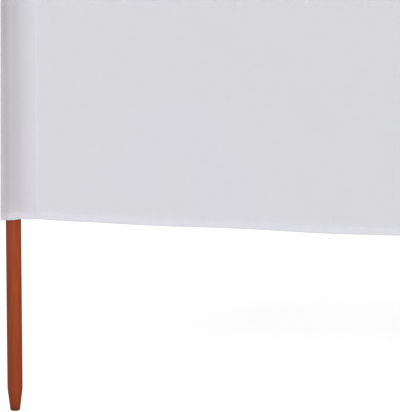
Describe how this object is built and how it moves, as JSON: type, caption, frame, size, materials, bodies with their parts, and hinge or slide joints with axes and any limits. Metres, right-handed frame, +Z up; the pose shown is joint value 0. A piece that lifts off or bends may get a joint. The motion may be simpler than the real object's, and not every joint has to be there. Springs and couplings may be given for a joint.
{
  "type": "beach windbreak",
  "caption": "Screen of pale cloth hung in bays on round wooden poles that stand in sewn pockets, with bare tapered ends to push into sand.",
  "frame": {"origin": "centre of the first pole's flat tip", "axes": "+X along the row from the first pole, +Z up along the poles, -Y towards the side on which the first bay comes forward"},
  "size_m": [7.9269, 0.2652, 1.6123],
  "materials": {
    "cloth": "thin plain-woven polyester",
    "stained_wood": "red-brown stain, satin"
  },
  "bodies": {
    "root": {"pole_1": "stained_wood", "pole_2": "stained_wood", "pole_3": "stained_wood", "pole_4": "stained_wood", "pole_5": "stained_wood", "pole_6": "stained_wood", "pole_7": "stained_wood", "sleeve_1": "cloth", "sleeve_2": "cloth", "sleeve_3": "cloth", "sleeve_4": "cloth", "sleeve_5": "cloth", "sleeve_6": "cloth", "sleeve_7": "cloth", "backing_2": "cloth", "backing_3": "cloth", "backing_4": "cloth", "backing_5": "cloth", "backing_6": "cloth", "panel_1": "cloth", "panel_2": "cloth", "panel_3": "cloth", "panel_4": "cloth", "panel_5": "cloth", "panel_6": "cloth", "bottom_hem_1": "cloth", "bottom_hem_2": "cloth", "bottom_hem_3": "cloth", "bottom_hem_4": "cloth", "bottom_hem_5": "cloth", "bottom_hem_6": "cloth", "top_hem_1": "cloth", "top_hem_2": "cloth", "top_hem_3": "cloth", "top_hem_4": "cloth", "top_hem_5": "cloth", "top_hem_6": "cloth"}
  },
  "joints": []
}
